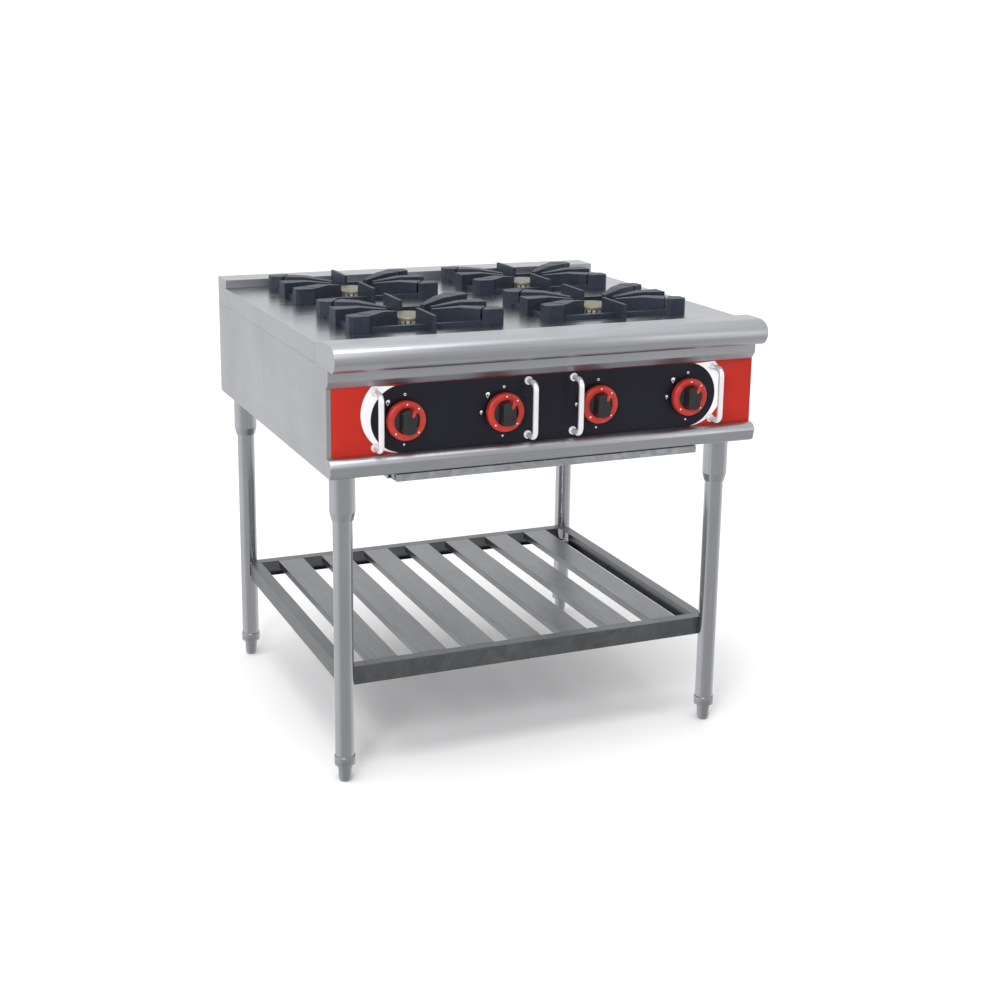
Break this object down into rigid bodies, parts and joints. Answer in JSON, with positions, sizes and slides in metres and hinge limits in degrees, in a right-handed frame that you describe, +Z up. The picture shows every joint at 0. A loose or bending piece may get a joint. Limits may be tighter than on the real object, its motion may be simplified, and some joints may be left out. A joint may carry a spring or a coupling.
{
  "type": "commercial gas range",
  "caption": "Free-standing stainless gas range with cast pan supports, a red and black control panel, a drip tray and a slatted pot shelf on tubular legs.",
  "frame": {"origin": "middle of the footprint, on the floor", "axes": "+X to the user's right, +Y to the back, +Z up"},
  "size_m": [0.9, 0.864, 0.909],
  "materials": {
    "stainless_sheet": "brushed",
    "stainless_tube": "brushed",
    "shelf_steel": "mill finish",
    "galvanised_steel": "galvanised",
    "red_enamel": "gloss",
    "black_overlay": "gloss",
    "white_print": "gloss",
    "cast_iron": "matt enamel",
    "burner_cap": "bare casting",
    "burner_casting": "bare casting",
    "chrome": "polished",
    "knob_plastic": "satin",
    "knob_red": "gloss",
    "brass": "machined",
    "gas_pipe": "zinc",
    "aluminium_tube": "drawn",
    "foot_steel": "satin"
  },
  "bodies": {
    "root": {"back_panel": "stainless_sheet", "base_rails": "galvanised_steel", "burner_bodies": "burner_casting", "burner_rails": "galvanised_steel", "control_panel": "red_enamel", "cooktop": "stainless_sheet", "fascia_strip": "stainless_sheet", "front_nose": "stainless_sheet", "front_rail": "stainless_sheet", "gas_manifold": "gas_pipe", "guard_handle_1": "chrome", "guard_handle_2": "chrome", "guard_handle_3": "chrome", "guard_handle_4": "chrome", "injectors": "brass", "leg_end_inserts": "foot_steel", "leg_front_left": "stainless_tube", "leg_front_right": "stainless_tube", "leg_rear_left": "stainless_tube", "leg_rear_right": "stainless_tube", "leg_sockets": "stainless_tube", "panel_overlay": "black_overlay", "rear_ledge": "stainless_sheet", "shelf_rail_front": "shelf_steel", "shelf_rail_left": "shelf_steel", "shelf_rail_rear": "shelf_steel", "shelf_rail_right": "shelf_steel", "shelf_slat_1": "shelf_steel", "shelf_slat_2": "shelf_steel", "shelf_slat_3": "shelf_steel", "shelf_slat_4": "shelf_steel", "shelf_slat_5": "shelf_steel", "shelf_slat_6": "shelf_steel", "shelf_slat_7": "shelf_steel", "side_panel_left": "stainless_sheet", "side_panel_right": "stainless_sheet", "supply_tubes": "aluminium_tube", "tray_runners": "galvanised_steel", "valve_bodies": "brass"},
    "spindle_1": {"valve_spindle_1": "brass"},
    "knob_1": {"knob_1": "knob_plastic"},
    "spindle_2": {"valve_spindle_2": "brass"},
    "knob_2": {"knob_2": "knob_plastic"},
    "spindle_3": {"valve_spindle_3": "brass"},
    "knob_3": {"knob_3": "knob_plastic"},
    "spindle_4": {"valve_spindle_4": "brass"},
    "knob_4": {"knob_4": "knob_plastic"},
    "trivet_front_left": {"trivet_front_left": "cast_iron"},
    "trivet_front_right": {"trivet_front_right": "cast_iron"},
    "trivet_rear_left": {"trivet_rear_left": "cast_iron"},
    "trivet_rear_right": {"trivet_rear_right": "cast_iron"},
    "burner_cap_front_left": {"burner_cap_front_left": "burner_cap"},
    "burner_cap_front_right": {"burner_cap_front_right": "burner_cap"},
    "burner_cap_rear_left": {"burner_cap_rear_left": "burner_cap"},
    "burner_cap_rear_right": {"burner_cap_rear_right": "burner_cap"},
    "drip_tray": {"drip_tray": "galvanised_steel"},
    "foot_front_left": {"foot_front_left": "foot_steel"},
    "foot_front_right": {"foot_front_right": "foot_steel"},
    "foot_rear_left": {"foot_rear_left": "foot_steel"},
    "foot_rear_right": {"foot_rear_right": "foot_steel"}
  },
  "joints": [
    {"name": "valve_1_turn", "type": "hinge", "parent": "root", "child": "spindle_1", "pos_m": [-0.3, -0.36, 0.734], "axis": [0, -1, 0], "range_deg": [0, 180]},
    {"name": "knob_1_push", "type": "slide", "parent": "spindle_1", "child": "knob_1", "axis": [0, 1, 0], "range_m": [0, 0.004], "stiffness_N_per_m": 800, "springref_m": -0.002},
    {"name": "valve_2_turn", "type": "hinge", "parent": "root", "child": "spindle_2", "pos_m": [-0.1, -0.36, 0.734], "axis": [0, -1, 0], "range_deg": [0, 180]},
    {"name": "knob_2_push", "type": "slide", "parent": "spindle_2", "child": "knob_2", "axis": [0, 1, 0], "range_m": [0, 0.004], "stiffness_N_per_m": 800, "springref_m": -0.002},
    {"name": "valve_3_turn", "type": "hinge", "parent": "root", "child": "spindle_3", "pos_m": [0.1, -0.36, 0.734], "axis": [0, -1, 0], "range_deg": [0, 180]},
    {"name": "knob_3_push", "type": "slide", "parent": "spindle_3", "child": "knob_3", "axis": [0, 1, 0], "range_m": [0, 0.004], "stiffness_N_per_m": 800, "springref_m": -0.002},
    {"name": "valve_4_turn", "type": "hinge", "parent": "root", "child": "spindle_4", "pos_m": [0.3, -0.36, 0.734], "axis": [0, -1, 0], "range_deg": [0, 180]},
    {"name": "knob_4_push", "type": "slide", "parent": "spindle_4", "child": "knob_4", "axis": [0, 1, 0], "range_m": [0, 0.004], "stiffness_N_per_m": 800, "springref_m": -0.002},
    {"name": "trivet_front_left_lift", "type": "slide", "parent": "root", "child": "trivet_front_left", "axis": [0, 0, 1], "range_m": [0, 0.06]},
    {"name": "trivet_front_right_lift", "type": "slide", "parent": "root", "child": "trivet_front_right", "axis": [0, 0, 1], "range_m": [0, 0.06]},
    {"name": "trivet_rear_left_lift", "type": "slide", "parent": "root", "child": "trivet_rear_left", "axis": [0, 0, 1], "range_m": [0, 0.06]},
    {"name": "trivet_rear_right_lift", "type": "slide", "parent": "root", "child": "trivet_rear_right", "axis": [0, 0, 1], "range_m": [0, 0.06]},
    {"name": "burner_cap_front_left_lift", "type": "slide", "parent": "root", "child": "burner_cap_front_left", "axis": [0, 0, 1], "range_m": [0, 0.03]},
    {"name": "burner_cap_front_right_lift", "type": "slide", "parent": "root", "child": "burner_cap_front_right", "axis": [0, 0, 1], "range_m": [0, 0.03]},
    {"name": "burner_cap_rear_left_lift", "type": "slide", "parent": "root", "child": "burner_cap_rear_left", "axis": [0, 0, 1], "range_m": [0, 0.03]},
    {"name": "burner_cap_rear_right_lift", "type": "slide", "parent": "root", "child": "burner_cap_rear_right", "axis": [0, 0, 1], "range_m": [0, 0.03]},
    {"name": "drip_tray_pull", "type": "slide", "parent": "root", "child": "drip_tray", "axis": [0, -1, 0], "range_m": [0, 0.45]},
    {"name": "foot_front_left_level", "type": "slide", "parent": "root", "child": "foot_front_left", "axis": [0, 0, -1], "range_m": [0, 0.02]},
    {"name": "foot_front_right_level", "type": "slide", "parent": "root", "child": "foot_front_right", "axis": [0, 0, -1], "range_m": [0, 0.02]},
    {"name": "foot_rear_left_level", "type": "slide", "parent": "root", "child": "foot_rear_left", "axis": [0, 0, -1], "range_m": [0, 0.02]},
    {"name": "foot_rear_right_level", "type": "slide", "parent": "root", "child": "foot_rear_right", "axis": [0, 0, -1], "range_m": [0, 0.02]}
  ]
}
